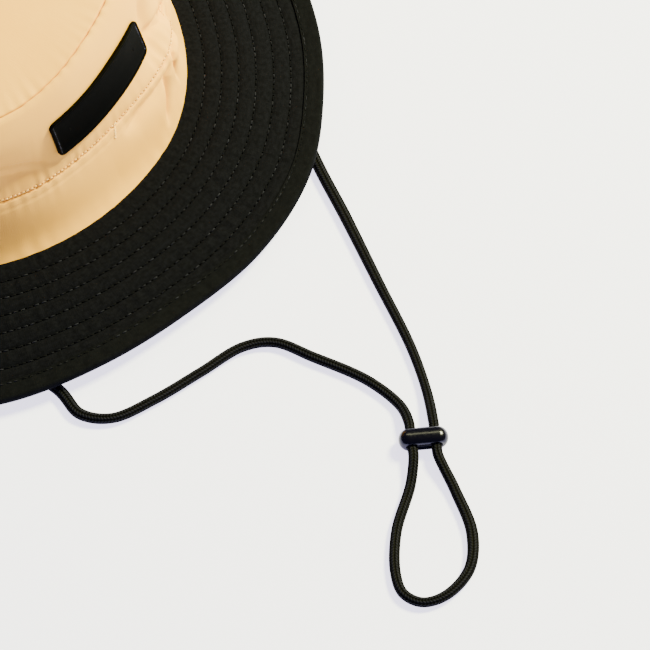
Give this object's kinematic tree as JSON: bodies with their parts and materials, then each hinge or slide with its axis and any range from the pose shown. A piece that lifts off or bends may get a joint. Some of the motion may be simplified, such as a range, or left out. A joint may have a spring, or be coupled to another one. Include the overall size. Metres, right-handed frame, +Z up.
{
  "type": "bucket sun hat with chin cord",
  "caption": "Soft round-crowned sun hat on a wide quilted brim, with a bare front patch and a braided chin cord doubled through a sliding lock, laid on the ground in front of it.",
  "frame": {"origin": "on the ground under the middle of the brim, the hat standing on its brim by itself", "axes": "+Z up through the crown, the wearer's front and the patch face -Y, the wearer's left is +X"},
  "size_m": [0.2888, 0.4201, 0.085],
  "materials": {
    "crown_cloth": "smooth cream cloth with a faint sheen",
    "brim_cloth": "matt black cloth, quilted",
    "binding_tape": "matt black tape",
    "patch_rubber": "satin black with a glossy rim",
    "cord_braid": "black braid",
    "lock_plastic": "glossy black"
  },
  "bodies": {
    "root": {"crown_tip": "crown_cloth", "crown_band": "crown_cloth", "crown_side": "crown_cloth", "brim": "brim_cloth", "brim_binding": "binding_tape", "front_patch": "patch_rubber", "chin_cord": "cord_braid", "cord_lock": "lock_plastic", "cord_tab_left": "binding_tape", "cord_tab_right": "binding_tape"}
  },
  "joints": []
}
